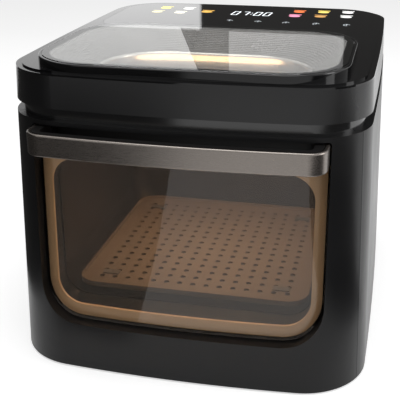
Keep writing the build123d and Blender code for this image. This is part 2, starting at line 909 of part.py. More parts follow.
# Handle: a metal outer bar over a plastic grip, open towards the pocket
def handle_block(reach, half_w, corner):
    """Plan of the handle out to a reach, between its ends, as tall as the handle."""
    front = body_depth / 2 + lower_proud + reach
    end = front - front_bow * (half_w / half_width) ** 2
    rear = body_depth / 4
    edges = [
        ThreePointArc((-half_w, -end), (0, -front), (half_w, -end)),
        Line((half_w, -end), (half_w, -rear)),
        Line((half_w, -rear), (-half_w, -rear)),
        Line((-half_w, -rear), (-half_w, -end)),
    ]
    face = make_face(edges)
    face = fillet(face.vertices().sort_by(Axis.Y)[:2], corner)
    return extrude(Pos(0, 0, handle_low) * face, amount=handle_height)


def make_handle():
    metal_gap = handle_reach - handle_metal
    full = handle_block(handle_reach, front_half_width, handle_corner)
    core = handle_block(metal_gap, front_half_width - handle_metal, handle_corner - handle_metal)
    hollow = handle_block(handle_reach - handle_depth, front_half_width - handle_arm, handle_corner / 3)
    seat = lower_block(glass_recess + glass_thickness, handle_low - over, lower_top)
    outer = full - core - seat
    edges = outer.edges().filter_by(
        lambda e: e.length > front_half_width and e.center().Y < front_y - metal_gap)
    outer = fillet(edges, handle_edge)
    inner = core - hollow - seat
    for side in (-1, 1):
        inner -= bar(side * handle_screw_x, handle_mid, far_front, 0, screw_radius + running_fit)
    return outer, inner


def make_handle_screw(x):
    """Screw driven from behind the drawer front into the handle's end."""
    head = bar(x, handle_mid, frame_y, frame_y + screw_head_height, screw_head)
    return head + bar(x, handle_mid, frame_y - screw_length - handle_metal, frame_y, screw_radius)


nodes["handle_bar"], nodes["handle_grip"] = make_handle()
nodes["handle_screws"] = Compound([make_handle_screw(side * handle_screw_x) for side in (-1, 1)])


# Basket and its plate
def basket_block(inset, z_high):
    """Basket's outline set in by a distance, with its rear corners rounded."""
    shape = front_prism(basket_half_width - inset, basket_low + inset, z_high, basket_radius - inset, 0,
                        pane_back + inset, basket_rear - inset)
    rear_edges = shape.edges().filter_by(Axis.Z).group_by(Axis.Y)[-1]
    return fillet(rear_edges, basket_corner - inset)


def make_basket():
    shape = basket_block(0, basket_high) - basket_block(basket_wall, basket_high + over)
    return shape - window_prism(0, pane_back - over, pane_back + basket_wall + over)


def make_plate():
    low = basket_low + plate_height
    y0 = pane_back + basket_wall + plate_end_gap
    y1 = basket_rear - basket_wall - plate_end_gap
    length = y1 - y0
    middle = Pos(0, (y0 + y1) / 2, low)
    face = middle * RectangleRounded(2 * plate_half_width, length, basket_corner)
    inside = middle * RectangleRounded(
        2 * (plate_half_width - plate_rim), length - 2 * plate_rim, basket_corner - plate_rim)
    shape = extrude(face, amount=plate_thickness)
    shape += extrude(face, amount=plate_lip) - extrude(inside, amount=plate_lip)
    columns = int(2 * (plate_half_width - plate_border) / plate_pitch)
    rows = int((length - 2 * plate_border) / plate_pitch)
    places = GridLocations(plate_pitch, plate_pitch, columns, rows)
    shape -= [middle * place * Cylinder(plate_hole, 4 * plate_thickness) for place in places]
    bumpers = []
    for side in (-1, 1):
        for y in (y0 + bumper_inset, y1 - bumper_inset):
            x = side * (plate_half_width - bumper_inset)
            bumpers.append(slab(
                x - bumper_size, x + bumper_size, y - bumper_size / 2, y + bumper_size / 2,
                basket_low + basket_wall + fit_gap, low + plate_thickness + over))
    return shape - bumpers, Compound(bumpers)


nodes["basket"] = make_basket()
nodes["crisper_plate"], nodes["plate_bumpers"] = make_plate()

# Every node moves by the same step, so that the origin is under the middle of the overall box
middle_step = (front_reach - rear_reach) / 2
for name, shape in nodes.items():
    export_step(Pos(0, middle_step, 0) * shape, f"parts/{name}.step")
print(len(nodes), "nodes, height", glass_top, "shift", middle_step)
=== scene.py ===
# %% [markdown]
# # An air fryer oven, dressed for its photograph
# The solid model gives every piece its real size and place. This script adds what a solid
# model can't show: the finishes, the ribbed funnel, the lit display and the studio.
# The frame is loaded first, so that every later cell can ask it where a piece is.

import bpy
import bmesh
import math
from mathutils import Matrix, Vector


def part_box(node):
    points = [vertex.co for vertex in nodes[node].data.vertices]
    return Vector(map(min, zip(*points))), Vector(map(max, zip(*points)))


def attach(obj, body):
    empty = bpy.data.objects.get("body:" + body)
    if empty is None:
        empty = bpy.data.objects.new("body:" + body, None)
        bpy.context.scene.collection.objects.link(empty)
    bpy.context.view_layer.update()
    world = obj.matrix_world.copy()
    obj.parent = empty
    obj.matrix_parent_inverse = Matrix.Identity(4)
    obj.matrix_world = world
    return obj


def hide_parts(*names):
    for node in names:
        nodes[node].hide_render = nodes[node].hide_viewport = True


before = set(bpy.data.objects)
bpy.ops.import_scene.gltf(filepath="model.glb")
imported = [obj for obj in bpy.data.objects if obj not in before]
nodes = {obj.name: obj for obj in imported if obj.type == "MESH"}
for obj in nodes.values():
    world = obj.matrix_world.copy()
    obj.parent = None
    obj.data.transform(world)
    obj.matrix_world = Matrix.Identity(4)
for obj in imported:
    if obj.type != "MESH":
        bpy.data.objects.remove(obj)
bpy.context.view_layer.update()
MM = 0.001

# %% [markdown]
# ## The camera
# The photograph was taken with a long lens from a little above the top and from the right.
# A camera fitted to the casing's outline gave the turn, the tilt, the distance and the focal
# length in pixels. The picture was cropped off centre, which the lens shift repeats.

# %% Camera
PICTURE = 400
TURN = math.radians(12.13)
TILT = math.radians(19.61)
FOCAL_PX = 830.1
DISTANCE = 0.8875
CENTRE_PX = (222.0, 155.9)
AIM = Vector((0.0, 0.0062, 0.150))

away = Vector((math.sin(TURN) * math.cos(TILT), -math.cos(TURN) * math.cos(TILT), math.sin(TILT)))
camera_data = bpy.data.cameras.new("photo_camera")
camera = bpy.data.objects.new("photo_camera", camera_data)
bpy.context.scene.collection.objects.link(camera)
camera.location = AIM + away * DISTANCE
camera.rotation_euler = (-away).to_track_quat("-Z", "Y").to_euler()
camera_data.sensor_width = 36.0
camera_data.lens = FOCAL_PX / PICTURE * camera_data.sensor_width
camera_data.shift_x = 0.5 - CENTRE_PX[0] / PICTURE
camera_data.shift_y = CENTRE_PX[1] / PICTURE - 0.5
camera_data.dof.use_dof = False
bpy.context.scene.camera = camera
bpy.context.scene.view_settings.view_transform = "Standard"
print("lens mm", round(camera_data.lens, 1))

# %% [markdown]
# ## Helpers for materials
# Paint charts and photographs give colours as sRGB hex, while the shaders count in linear
# light, so one function turns one into the other. A second one adds a node with its settings
# and its links in one line, which keeps each finish short enough to read at a glance.


# %% Colour and node helpers
def linear(code):
    """An sRGB hex code as a linear colour with alpha."""
    channels = [int(code[i:i + 2], 16) / 255 for i in (1, 3, 5)]
    return [c / 12.92 if c <= 0.04045 else ((c + 0.055) / 1.055) ** 2.4 for c in channels] + [1.0]


def add(tree, kind, inputs=None, **settings):
    """A node with its settings; inputs are values, or other nodes' output sockets."""
    made = tree.nodes.new(kind)
    for name, value in settings.items():
        setattr(made, name, value)
    for name, value in (inputs or {}).items():
        if isinstance(value, bpy.types.NodeSocket):
            tree.links.new(value, made.inputs[name])
        else:
            made.inputs[name].default_value = value
    return made


def new_finish(name):
    """An empty material and its node tree."""
    made = bpy.data.materials.new(name)
    made.use_nodes = True
    made.node_tree.nodes.clear()
    return made, made.node_tree


def show(tree, socket):
    """Links a shader to the material's output."""
    add(tree, "ShaderNodeOutputMaterial", {"Surface": socket})


def dress(material, *names):
    """Gives a material to the solids of these nodes."""
    for name in names:
        nodes[name].data.materials.clear()
        nodes[name].data.materials.append(material)


# %% [markdown]
# ## Moulded ABS
# The casing is injection moulded ABS with a fine spark-eroded texture. To the eye that is a
# black with soft, wide highlights: the reflection of a lamp is there, but its edge is gone.
# A low bump breaks the highlight up. The real grain is about 0.1 mm, far below a pixel, so it
# is drawn at 0.8 mm, where it just shows. The lacquer on the bronze trim and the paint in the
# funnel are built the same way: a matt body under a thin skin with a fine grain.


# %% Moulded ABS
FLOW_MM = 60
FLOW_SPREAD = 0.03
SPARK_DEPTH_MM = 0.1


def moulded_abs(name, colour, roughness, gloss, grain_mm, depth):
    material, tree = new_finish(name)
    place = add(tree, "ShaderNodeTexCoord")
    grain = add(tree, "ShaderNodeTexNoise", {
        "Vector": place.outputs["Object"], "Scale": 1 / (grain_mm * MM), "Detail": 3.0})
    cloud = add(tree, "ShaderNodeTexNoise", {
        "Vector": place.outputs["Object"], "Scale": 1 / (FLOW_MM * MM), "Detail": 2.0})
    polish = add(tree, "ShaderNodeMapRange", {
        "Value": cloud.outputs["Fac"], "From Min": 0.3, "From Max": 0.7,
        "To Min": roughness - FLOW_SPREAD, "To Max": roughness + FLOW_SPREAD})
    bump = add(tree, "ShaderNodeBump", {
        "Height": grain.outputs["Fac"], "Strength": depth, "Distance": SPARK_DEPTH_MM * MM})
    shader = add(tree, "ShaderNodeBsdfPrincipled", {
        "Base Color": linear(colour), "Roughness": polish.outputs["Result"], "IOR": 1.53,
        "Specular IOR Level": gloss, "Normal": bump.outputs["Normal"]})
    show(tree, shader.outputs["BSDF"])
    return material


casing_abs = moulded_abs("casing_abs", "#0f0f10", 0.32, 0.22, 0.8, 0.2)
band_abs = moulded_abs("band_abs", "#101011", 0.25, 0.36, 0.8, 0.15)
frame_abs = moulded_abs("frame_abs", "#0d0c0c", 0.45, 0.2, 1.2, 0.4)
vent_abs = moulded_abs("vent_abs", "#131314", 0.48, 0.3, 1.0, 0.4)
bronze_lacquer = moulded_abs("bronze_lacquer", "#dcbc98", 0.4, 0.3, 0.6, 0.15)
dress(bronze_lacquer, "window_trim")
dress(casing_abs, "front_bezel", "main_shell")
dress(band_abs, "upper_housing")
dress(frame_abs, "drawer_front_frame", "handle_grip")
dress(vent_abs, "rear_cover", "base_plate", "cord_inlet", "fan_motor", "cooling_fan", "drawer_switch",
      "switch_plunger", "display_module")
print("moulded finishes", casing_abs.name, band_abs.name, frame_abs.name, vent_abs.name)

# %% [markdown]
# ## High-gloss black
# The neck and the top are moulded in a mirror-polished tool and lacquered. They reflect the
# studio sharply, so their roughness is near zero, with a faint orange peel from the lacquer
# that lets the reflections wander a little, as real ones do.


# %% Gloss lacquer
PEEL_MM = 9
PEEL_DEPTH_MM = 0.2


def gloss_lacquer(name, colour, roughness, gloss):
    material, tree = new_finish(name)
    place = add(tree, "ShaderNodeTexCoord")
    peel = add(tree, "ShaderNodeTexNoise", {
        "Vector": place.outputs["Object"], "Scale": 1 / (PEEL_MM * MM), "Detail": 1.0})
    bump = add(tree, "ShaderNodeBump", {
        "Height": peel.outputs["Fac"], "Strength": 0.02, "Distance": PEEL_DEPTH_MM * MM})
    shader = add(tree, "ShaderNodeBsdfPrincipled", {
        "Base Color": linear(colour), "Roughness": roughness, "IOR": 1.5,
        "Specular IOR Level": gloss, "Normal": bump.outputs["Normal"]})
    show(tree, shader.outputs["BSDF"])
    return material


neck_lacquer = gloss_lacquer("neck_lacquer", "#1a1a1b", 0.14, 0.7)
top_lacquer = gloss_lacquer("top_lacquer", "#0e0e0f", 0.09, 0.35)
control_pane = gloss_lacquer("control_pane", "#0a0a0b", 0.05, 0.5)
dress(neck_lacquer, "neck_ring")
dress(top_lacquer, "top_panel")
dress(control_pane, "control_lens")
print("gloss finishes", neck_lacquer.name, top_lacquer.name, control_pane.name)

# %% [markdown]
# ## Tempered glass
# The panes are float glass, heat-treated so that they survive an oven. Glass bends the light
# that the eye sees, but for the light of the lamps it is simply clear. So each pane is real
# glass to the camera and plain transparent to the shadow rays, and the chamber behind it
# isn't left in the dark. The drawer's outer pane has a light brown tint. The inner panes
# carry an anti-reflection coat, which a low index stands for: they mirror next to nothing.


# %% Tempered glass
ROLLER_WAVE_MM = 70


def tempered_glass(name, colour, index):
    material, tree = new_finish(name)
    place = add(tree, "ShaderNodeTexCoord")
    wave = add(tree, "ShaderNodeTexNoise", {
        "Vector": place.outputs["Object"], "Scale": 1 / (ROLLER_WAVE_MM * MM), "Detail": 0.0})
    bump = add(tree, "ShaderNodeBump", {
        "Height": wave.outputs["Fac"], "Strength": 0.002, "Distance": 1.0 * MM})
    glass = add(tree, "ShaderNodeBsdfPrincipled", {
        "Base Color": linear(colour), "Roughness": 0.0, "IOR": index, "Transmission Weight": 1.0,
        "Normal": bump.outputs["Normal"]})
    clear = add(tree, "ShaderNodeBsdfTransparent", {"Color": linear("#f6f6f4")})
    path = add(tree, "ShaderNodeLightPath")
    unseen = add(tree, "ShaderNodeMath", {
        0: path.outputs["Is Shadow Ray"], 1: path.outputs["Is Diffuse Ray"]}, operation="MAXIMUM")
    mix = add(tree, "ShaderNodeMixShader", {
        0: unseen.outputs[0], 1: glass.outputs["BSDF"], 2: clear.outputs["BSDF"]})
    show(tree, mix.outputs["Shader"])
    return material


top_glass = tempered_glass("top_glass", "#f0f0ee", 1.5)
drawer_glass = tempered_glass("drawer_glass", "#c8bcb0", 1.4)
inner_glass = tempered_glass("inner_glass", "#f4f1ec", 1.12)
dress(top_glass, "top_window_glass")
dress(drawer_glass, "drawer_glass_outer")
dress(inner_glass, "throat_glass", "drawer_glass_inner")
print("glass finishes", top_glass.name, drawer_glass.name, inner_glass.name)

# %% [markdown]
# ## Brushed and anodised aluminium
# The handle is an extrusion, brushed along its length and anodised gunmetal. The brushing
# leaves fine lines along X, which stretch every reflection across them. The lines are noise,
# squeezed across the grain. Real ones are about 0.05 mm apart; here they are 0.5 mm.


# %% Anodised aluminium
BRUSH_STRETCH = 0.02
BRUSH_SPREAD = 0.06
BRUSH_DEPTH_MM = 0.05


def anodised_aluminium(name, colour, roughness, line_mm, depth):
    material, tree = new_finish(name)
    place = add(tree, "ShaderNodeTexCoord")
    along = add(tree, "ShaderNodeMapping", {
        "Vector": place.outputs["Object"], "Scale": (BRUSH_STRETCH, 1.0, 1.0)})
    lines = add(tree, "ShaderNodeTexNoise", {
        "Vector": along.outputs["Vector"], "Scale": 1 / (line_mm * MM), "Detail": 2.0})
    rough = add(tree, "ShaderNodeMapRange", {
        "Value": lines.outputs["Fac"],
        "To Min": roughness - BRUSH_SPREAD, "To Max": roughness + BRUSH_SPREAD})
    bump = add(tree, "ShaderNodeBump", {
        "Height": lines.outputs["Fac"], "Strength": depth, "Distance": BRUSH_DEPTH_MM * MM})
    shader = add(tree, "ShaderNodeBsdfPrincipled", {
        "Base Color": linear(colour), "Metallic": 1.0, "Roughness": rough.outputs["Result"],
        "Anisotropic": 0.5, "Normal": bump.outputs["Normal"]})
    show(tree, shader.outputs["BSDF"])
    return material


gunmetal = anodised_aluminium("gunmetal", "#7a746f", 0.28, 0.5, 0.3)
fan_metal = anodised_aluminium("fan_metal", "#b9b9b8", 0.35, 0.6, 0.2)
dress(gunmetal, "handle_bar")
dress(fan_metal, "convection_fan")
print("aluminium finishes", gunmetal.name, fan_metal.name)

# %% [markdown]
# ## Non-stick coating
# Basket, plate and chamber are steel sheet with a baked fluoropolymer coating. It is a warm
# near-black with a fine metallic fleck and a low, greasy sheen; the plate's copy is painted lighter,
# as painted light of the chamber lamp. The fleck is noise cut high, so that only its peaks turn lighter.


# %% Non-stick coating
COAT_DEPTH_MM = 0.1


def non_stick(name, colour, fleck, roughness, fleck_mm):
    material, tree = new_finish(name)
    place = add(tree, "ShaderNodeTexCoord")
    specks = add(tree, "ShaderNodeTexNoise", {
        "Vector": place.outputs["Object"], "Scale": 1 / (fleck_mm * MM), "Detail": 4.0, "Roughness": 0.7})
    peaks = add(tree, "ShaderNodeMapRange", {
        "Value": specks.outputs["Fac"], "From Min": 0.5, "From Max": 0.75})
    tone = add(tree, "ShaderNodeMix", {
        0: peaks.outputs["Result"], 6: linear(colour), 7: linear(fleck)}, data_type="RGBA")
    bump = add(tree, "ShaderNodeBump", {
        "Height": specks.outputs["Fac"], "Strength": 0.35, "Distance": COAT_DEPTH_MM * MM})
    shader = add(tree, "ShaderNodeBsdfPrincipled", {
        "Base Color": tone.outputs[2], "Roughness": roughness, "IOR": 1.4,
        "Normal": bump.outputs["Normal"]})
    show(tree, shader.outputs["BSDF"])
    return material


chamber_coat = non_stick("chamber_coat", "#1c1511", "#2e241c", 0.40, 1.2)
basket_coat = non_stick("basket_coat", "#191412", "#2f2822", 0.38, 1.2)
# The plate has the same coat, painted lighter: painted light of the chamber lamp on the plate.
plate_coat = non_stick("plate_coat", "#6a6056", "#94887a", 0.45, 1.4)
dress(chamber_coat, "cavity_liner", "fan_cover")
dress(basket_coat, "basket")
dress(plate_coat, "crisper_plate")
print("coatings", chamber_coat.name, basket_coat.name, plate_coat.name)

# %% [markdown]
# ## Bare steel, zinc, rubber, boards
# Inside, the sheet parts are zinc plated, with a mottled crystal pattern, and the rails, the
# heater's tube and the shaft are bright steel. Seals and feet are silicone, and the two
# circuit boards wear green solder mask. The lamp's glass is frosted and gives a little light.


# %% Inner finishes
def bare_metal(name, colour, roughness, patch_mm, spread):
    material, tree = new_finish(name)
    place = add(tree, "ShaderNodeTexCoord")
    patches = add(tree, "ShaderNodeTexVoronoi", {
        "Vector": place.outputs["Object"], "Scale": 1 / (patch_mm * MM)})
    rough = add(tree, "ShaderNodeMapRange", {
        "Value": patches.outputs["Distance"], "To Min": roughness - spread, "To Max": roughness + spread})
    shader = add(tree, "ShaderNodeBsdfPrincipled", {
        "Base Color": linear(colour), "Metallic": 1.0, "Roughness": rough.outputs["Result"]})
    show(tree, shader.outputs["BSDF"])
    return material


def silicone(name, colour):
    material, tree = new_finish(name)
    place = add(tree, "ShaderNodeTexCoord")
    dust = add(tree, "ShaderNodeTexNoise", {"Vector": place.outputs["Object"], "Scale": 1 / (2 * MM)})
    rough = add(tree, "ShaderNodeMapRange", {"Value": dust.outputs["Fac"], "To Min": 0.55, "To Max": 0.75})
    shader = add(tree, "ShaderNodeBsdfPrincipled", {
        "Base Color": linear(colour), "Roughness": rough.outputs["Result"], "IOR": 1.41})
    show(tree, shader.outputs["BSDF"])
    return material


bright_steel = bare_metal("bright_steel", "#cfccc6", 0.22, 4, 0.04)
zinc = bare_metal("zinc", "#a9adb0", 0.42, 6, 0.12)
black_silicone = silicone("black_silicone", "#18181a")
grey_silicone = silicone("grey_silicone", "#5a5a5a")
solder_mask = gloss_lacquer("solder_mask", "#0f5a2a", 0.35, 0.5)
dress(bright_steel, "rail_left", "rail_right", "heater_element", "motor_shaft", "temperature_probe",
      "funnel_ring")
dress(zinc, "heat_shield", "heater_brackets", "motor_bracket", "thermal_cutout", "rear_screws",
      "base_screws", "handle_screws")
dress(black_silicone, "top_window_seal", "drawer_seal", "foot_front_left", "foot_front_right",
      "foot_rear_left", "foot_rear_right")
dress(grey_silicone, "throat_seal", "plate_bumpers")
dress(solder_mask, "touch_board", "power_board")
print("inner finishes", bright_steel.name, zinc.name, black_silicone.name, grey_silicone.name)


# %% Lamp glass
def glowing(name, colour, strength, roughness=0.4):
    """A surface that gives light of its own, under a satin skin."""
    material, tree = new_finish(name)
    place = add(tree, "ShaderNodeTexCoord")
    haze = add(tree, "ShaderNodeTexNoise", {"Vector": place.outputs["Object"], "Scale": 1 / (12 * MM)})
    power = add(tree, "ShaderNodeMapRange", {
        "Value": haze.outputs["Fac"], "To Min": strength * 0.9, "To Max": strength * 1.1})
    shader = add(tree, "ShaderNodeBsdfPrincipled", {
        "Base Color": linear(colour), "Roughness": roughness, "Emission Color": linear(colour),
        "Emission Strength": power.outputs["Result"]})
    show(tree, shader.outputs["BSDF"])
    return material


dress(glowing("lamp_glass", "#ffc27a", 3.0), "interior_lamp")

# %% [markdown]
# ## The ribbed funnel
# Under the view port a pressed funnel narrows to the ring. Its wall has fine ribs that run
# round it, a little over 2 mm apart, and they catch the light one by one. A bump map would
# look flat where the ribs meet the ring, so they are real: the wall is a stack of rounded
# rectangles, four to a rib, whose inset follows a wave. The funnel ends on the ring's lip.


# %% Ribbed funnel
def rounded_ring(half_w, half_d, radius, middle_y, z, corner_steps=14):
    """Points of a rounded rectangle at one height, corner by corner."""
    points = []
    for quarter, (side, end) in enumerate(((1, 1), (-1, 1), (-1, -1), (1, -1))):
        for step in range(corner_steps + 1):
            angle = math.radians(90 * (quarter + step / corner_steps))
            points.append(Vector((
                side * (half_w - radius) + radius * math.cos(angle),
                middle_y + end * (half_d - radius) + radius * math.sin(angle),
                z)))
    return points


def mesh_piece(name, mesh, material):
    """Links a mesh as a piece that rides on the housing."""
    piece = bpy.data.objects.new(name, mesh)
    bpy.context.scene.collection.objects.link(piece)
    mesh.materials.append(material)
    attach(piece, "housing")
    return piece


def skin_rings(rings):
    """A mesh through rings of points; the last ring joins the first, so that it is closed."""
    made = bmesh.new()
    rows = [[made.verts.new(point) for point in ring] for ring in rings]
    for row, following in zip(rows, rows[1:] + rows[:1]):
        for i in range(len(row)):
            j = (i + 1) % len(row)
            made.faces.new((row[i], row[j], following[j], following[i]))
    bmesh.ops.recalc_face_normals(made, faces=made.faces)
    mesh = bpy.data.meshes.new("skin")
    made.to_mesh(mesh)
    made.free()
    return mesh


funnel_low, funnel_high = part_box("viewing_funnel")
throat_low, throat_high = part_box("throat_glass")
port_middle = (funnel_low.y + funnel_high.y) / 2
RIB_PITCH = 2.3 * MM
RIB_HEIGHT = 0.55 * MM
FUNNEL_WALL = 1.6 * MM
TOP_RADIUS = 47.7 * MM
FOOT_RADIUS = 62.0 * MM
top_half = ((funnel_high.x - funnel_low.x) / 2, (funnel_high.y - funnel_low.y) / 2)
foot_half = ((throat_high.x - throat_low.x) / 2, (throat_high.y - throat_low.y) / 2)
RING_TOP = 0.261
slope = math.hypot(top_half[0] - foot_half[0], funnel_high.z - RING_TOP)
ribs = int(slope / RIB_PITCH)


def funnel_ring_at(share, inset):
    """One ring of the funnel's wall, from its foot at 0 to its top at 1."""
    half_w = foot_half[0] + (top_half[0] - foot_half[0]) * share - inset
    half_d = foot_half[1] + (top_half[1] - foot_half[1]) * share - inset
    radius = FOOT_RADIUS + (TOP_RADIUS - FOOT_RADIUS) * share - inset
    z = RING_TOP + (funnel_high.z - RING_TOP) * share
    return rounded_ring(half_w, half_d, radius, port_middle, z)


inside = []
for step in range(4 * ribs + 1):
    wave = 0.5 - 0.5 * math.cos(step * math.pi / 2)
    inside.append(funnel_ring_at(step / (4 * ribs), FUNNEL_WALL + RIB_HEIGHT * wave))
outside = [funnel_ring_at(1.0, 0.0), funnel_ring_at(0.0, 0.0)]
funnel_paint = moulded_abs("funnel_paint", "#34312e", 0.42, 0.4, 0.8, 0.1)
funnel = mesh_piece("ribbed_funnel", skin_rings(inside + outside), funnel_paint)
for face in funnel.data.polygons:
    face.use_smooth = True
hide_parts("viewing_funnel")
print("ribs", ribs)

# %% [markdown]
# ## The ring of the view port
# A polished ring holds the funnel's foot over the chamber, and it is the brightest thing seen
# through the port. A sharp lip would catch no light, and the real one is rounded. So the
# ring's section is an arch of points, carried round the same rounded rectangle as the funnel.

# %% Port ring
ring_low, ring_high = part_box("funnel_ring")
RING_WALL = 5.0 * MM
ARCH_STEPS = 8
LIP_RADIUS = RING_WALL / 2
turns = [math.pi * i / ARCH_STEPS for i in range(ARCH_STEPS + 1)]
arch = [(LIP_RADIUS * (1 - math.cos(turn)), RING_TOP + LIP_RADIUS * math.sin(turn)) for turn in turns]
section = [(0.0, ring_low.z)] + arch + [(RING_WALL, ring_low.z)]
ring_half = ((ring_high.x - ring_low.x) / 2, (ring_high.y - ring_low.y) / 2)
ring_rows = [rounded_ring(ring_half[0] - inset, ring_half[1] - inset, FOOT_RADIUS - inset, port_middle, z)
             for inset, z in section]
port_ring = mesh_piece("port_ring", skin_rings(ring_rows), bright_steel)
for face in port_ring.data.polygons:
    face.use_smooth = True
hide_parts("funnel_ring")
print("ring top mm", round((RING_TOP + LIP_RADIUS) / MM, 1))

# %% [markdown]
# ## The display and the touch keys
# The control area is black glass with nothing on it until the power comes on. Then a
# four-digit timer and a set of small symbols shine through. Each is a thin slip of lit print
# just above the pane. The digits are seven-segment digits, and the symbols are plain shapes
# of this model's own, in colours like the real ones.


# %% Slips of lit print
pane_low, pane_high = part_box("control_lens")
PRINT_HEIGHT = 0.12 * MM
white_print = glowing("white_print", "#e9eef2", 0.9)
soft_print = glowing("soft_print", "#c9cfd4", 0.5)


def slip(name, outlines, material):
    """A thin piece of print made from closed outlines of (x, y) in millimetres."""
    made = bmesh.new()
    for outline in outlines:
        foot = [made.verts.new((x * MM, y * MM + AIM.y, pane_high.z)) for x, y in outline]
        face = made.faces.new(foot)
        raised = bmesh.ops.extrude_face_region(made, geom=[face])
        moved = [item for item in raised["geom"] if isinstance(item, bmesh.types.BMVert)]
        bmesh.ops.translate(made, vec=(0, 0, PRINT_HEIGHT), verts=moved)
    bmesh.ops.recalc_face_normals(made, faces=made.faces)
    mesh = bpy.data.meshes.new(name)
    made.to_mesh(mesh)
    made.free()
    return mesh_piece(name, mesh, material)


def stroke(x0, y0, x1, y1, width):
    """A straight stroke with square ends, as an outline."""
    along = Vector((x1 - x0, y1 - y0)).normalized() * width / 2
    across = Vector((-along.y, along.x))
    first, last = Vector((x0, y0)) - along, Vector((x1, y1)) + along
    return [tuple(point) for point in (first - across, last - across, last + across, first + across)]


def ellipse(x, y, half_w, half_h, count=20):
    turn = 2 * math.pi / count
    return [(x + half_w * math.cos(i * turn), y + half_h * math.sin(i * turn)) for i in range(count)]


# %% Timer digits
SEGMENTS = {"0": "abcdef", "7": "abc"}
DIGIT_W = 6.4
DIGIT_H = 21.0
DIGIT_STROKE = 1.5
DIGIT_PITCH = 11.0
DIGIT_LEAN = 0.08
TIMER_X = -15.0
TIMER_Y = 118.0
COLON_SPACE = 4.0


def digit_strokes(digit, x, y):
    """Strokes of a seven-segment digit whose lower left corner is at x, y."""
    w, h, gap = DIGIT_W, DIGIT_H, DIGIT_STROKE * 0.62
    ends = {
        "a": (x + gap, y + h, x + w - gap, y + h), "b": (x + w, y + h - gap, x + w, y + h / 2 + gap),
        "c": (x + w, y + h / 2 - gap, x + w, y + gap), "d": (x + gap, y, x + w - gap, y),
        "e": (x, y + gap, x, y + h / 2 - gap), "f": (x, y + h / 2 + gap, x, y + h - gap),
        "g": (x + gap, y + h / 2, x + w - gap, y + h / 2)}
    outlines = [stroke(*ends[name], DIGIT_STROKE) for name in SEGMENTS[digit]]
    return [[(px + DIGIT_LEAN * (py - y), py) for px, py in outline] for outline in outlines]


timer = []
for place_number, digit in enumerate("0700"):
    shift = COLON_SPACE if place_number > 1 else 0.0
    timer += digit_strokes(digit, TIMER_X + place_number * DIGIT_PITCH + shift, TIMER_Y)
colon_x = TIMER_X + 2 * DIGIT_PITCH - (DIGIT_PITCH - DIGIT_W - COLON_SPACE) / 2
timer += [ellipse(colon_x + DIGIT_LEAN * DIGIT_H * share, TIMER_Y + DIGIT_H * share, 0.8, 1.4, 10)
          for share in (0.3, 0.7)]
slip("timer_digits", timer, white_print)
print("timer strokes", len(timer))

# %% Programme symbols
SYMBOLS = {
    "symbol_orange": ("#e0713a", (60.0, 152.0)),
    "symbol_pink": ("#e58fae", (58.0, 123.0)),
    "symbol_yellow": ("#e8cf6a", (88.0, 155.0)),
    "symbol_tan": ("#b98a4e", (87.0, 126.0)),
    "symbol_white_rear": ("#e6e6e4", (116.0, 158.0)),
    "symbol_white_front": ("#dcdcda", (116.0, 129.0)),
    "symbol_lemon": ("#efe48a", (-100.0, 146.0)),
    "symbol_pale": ("#e9e9e6", (-72.0, 146.0)),
    "symbol_cream": ("#d9d2b0", (-103.0, 118.0)),
    "symbol_ivory": ("#ece7d6", (-76.0, 118.0)),
    "symbol_gold": ("#d8a545", (-46.0, 130.0)),
}
BOWL_HALF_W, BOWL_HALF_H = 6.5, 5.5
LID_HALF_W, LID_RISE, LID_STROKE = 5.5, 9.0, 3.0
for name, (colour, (x, y)) in SYMBOLS.items():
    bowl = ellipse(x, y, BOWL_HALF_W, BOWL_HALF_H)
    lid = stroke(x - LID_HALF_W, y + LID_RISE, x + LID_HALF_W, y + LID_RISE, LID_STROKE)
    slip(name, [bowl, lid], glowing(name + "_print", colour, 0.85))

# %% Touch keys along the front of the pane
KEY_Y = 80.0
KEY_HALF_W, KEY_HALF_H = 3.4, 4.4
KEY_START, KEY_STEP = 0.3, 0.55
keys = []


def key_point(x, angle):
    """A point of a key's arc."""
    return x + KEY_HALF_W * math.cos(angle), KEY_Y + KEY_HALF_H * math.sin(angle)


for i, x in enumerate((-9.0, 23.0, 54.0, 87.0, 120.0)):
    for angle in [KEY_START + k * KEY_STEP for k in range(4 + i)]:
        keys.append(stroke(*key_point(x, angle), *key_point(x, angle + KEY_STEP), 0.7))
    keys.append(stroke(x, KEY_Y - 1.5, x, KEY_Y + 5.5, 0.8))
slip("touch_keys", keys, soft_print)
print("symbols", len(SYMBOLS), "key strokes", len(keys))

# %% [markdown]
# ## The studio
# A product like this is photographed on white, under large soft boxes. One hangs above, one
# stands on the right, and both give a plain level. Two weak ones stand behind: the control
# pane mirrors the left one, and the view port the one in the middle. The lamp in the chamber
# is warm, and a strip of its light comes up through the throat to the funnel and its ring.


# %% Soft boxes
def soft_box(name, place, target, width, height, watts, colour="#ffffff"):
    data = bpy.data.lights.new(name, "AREA")
    data.shape = "RECTANGLE"
    data.size = width
    data.size_y = height
    data.energy = watts
    data.color = linear(colour)[:3]
    lamp = bpy.data.objects.new(name, data)
    bpy.context.scene.collection.objects.link(lamp)
    lamp.location = place
    lamp.rotation_euler = (Vector(target) - Vector(place)).to_track_quat("-Z", "Y").to_euler()
    return lamp


MIDDLE = (0.0, 0.0, 0.15)
BACK_Y = 1.3
soft_box("box_above", (0.0, -0.3, 1.7), MIDDLE, 1.2, 1.2, 16)
soft_box("box_right", (1.3, -0.1, 0.6), MIDDLE, 0.4, 0.9, 7)
soft_box("box_behind", (-0.718, BACK_Y, 0.475), (-0.718, 0.0, 0.475), 0.76, 0.15, 0.19)
soft_box("box_window", (-0.11, BACK_Y, 0.65), (-0.11, 0.0, 0.65), 0.30, 0.2, 0.07)
